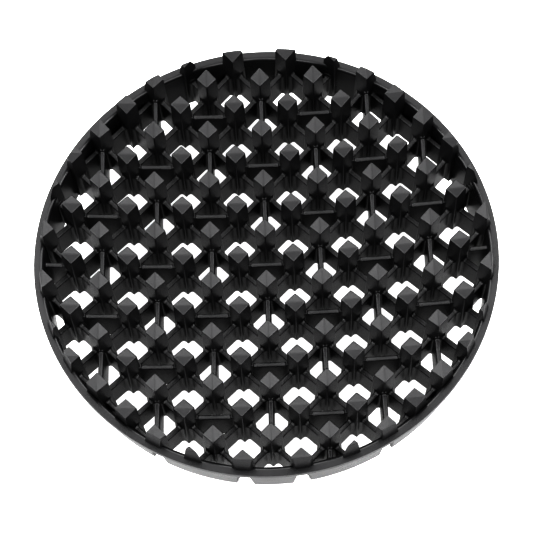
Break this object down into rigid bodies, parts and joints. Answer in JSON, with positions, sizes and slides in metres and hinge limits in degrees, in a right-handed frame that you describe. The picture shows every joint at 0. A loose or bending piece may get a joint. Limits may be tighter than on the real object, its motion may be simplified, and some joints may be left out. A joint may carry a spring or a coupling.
{
  "type": "honeycomb grid",
  "caption": "Round light grid for a studio reflector: dished field of square posts, ribs and bars inside a flanged rim.",
  "frame": {"origin": "centre of the flange's seating face, under the flange", "axes": "+Z along the light's path, from the skirt out through the flange; +X along the straight bars of the middle row"},
  "size_m": [0.175, 0.175, 0.0354],
  "materials": {
    "black_plastic": "moulded, fine grain, soft sheen"
  },
  "bodies": {
    "root": {"rim_flange": "black_plastic", "rim_skirt": "black_plastic", "post_row_01": "black_plastic", "post_row_02": "black_plastic", "post_row_03": "black_plastic", "post_row_04": "black_plastic", "post_row_05": "black_plastic", "post_row_06": "black_plastic", "post_row_07": "black_plastic", "post_row_08": "black_plastic", "post_row_09": "black_plastic", "post_row_10": "black_plastic", "post_row_11": "black_plastic", "post_row_12": "black_plastic", "post_row_13": "black_plastic", "post_row_14": "black_plastic", "post_row_15": "black_plastic", "post_row_16": "black_plastic", "post_row_17": "black_plastic", "rising_rib_01": "black_plastic", "rising_rib_02": "black_plastic", "rising_rib_03": "black_plastic", "rising_rib_04": "black_plastic", "rising_rib_05": "black_plastic", "rising_rib_06": "black_plastic", "rising_rib_07": "black_plastic", "rising_rib_08": "black_plastic", "rising_rib_09": "black_plastic", "rising_rib_10": "black_plastic", "rising_rib_11": "black_plastic", "rising_rib_12": "black_plastic", "falling_rib_01": "black_plastic", "falling_rib_02": "black_plastic", "falling_rib_03": "black_plastic", "falling_rib_04": "black_plastic", "falling_rib_05": "black_plastic", "falling_rib_06": "black_plastic", "falling_rib_07": "black_plastic", "falling_rib_08": "black_plastic", "falling_rib_09": "black_plastic", "falling_rib_10": "black_plastic", "falling_rib_11": "black_plastic", "falling_rib_12": "black_plastic", "cross_bar_row_1": "black_plastic", "cross_bar_row_2": "black_plastic", "cross_bar_row_3": "black_plastic", "cross_bar_row_4": "black_plastic", "cross_bar_row_5": "black_plastic", "cross_bar_row_6": "black_plastic", "cross_bar_row_7": "black_plastic", "fore_aft_bar_row_1": "black_plastic", "fore_aft_bar_row_2": "black_plastic", "fore_aft_bar_row_3": "black_plastic", "fore_aft_bar_row_4": "black_plastic", "fore_aft_bar_row_5": "black_plastic", "fore_aft_bar_row_6": "black_plastic", "fore_aft_bar_row_7": "black_plastic"}
  },
  "joints": []
}
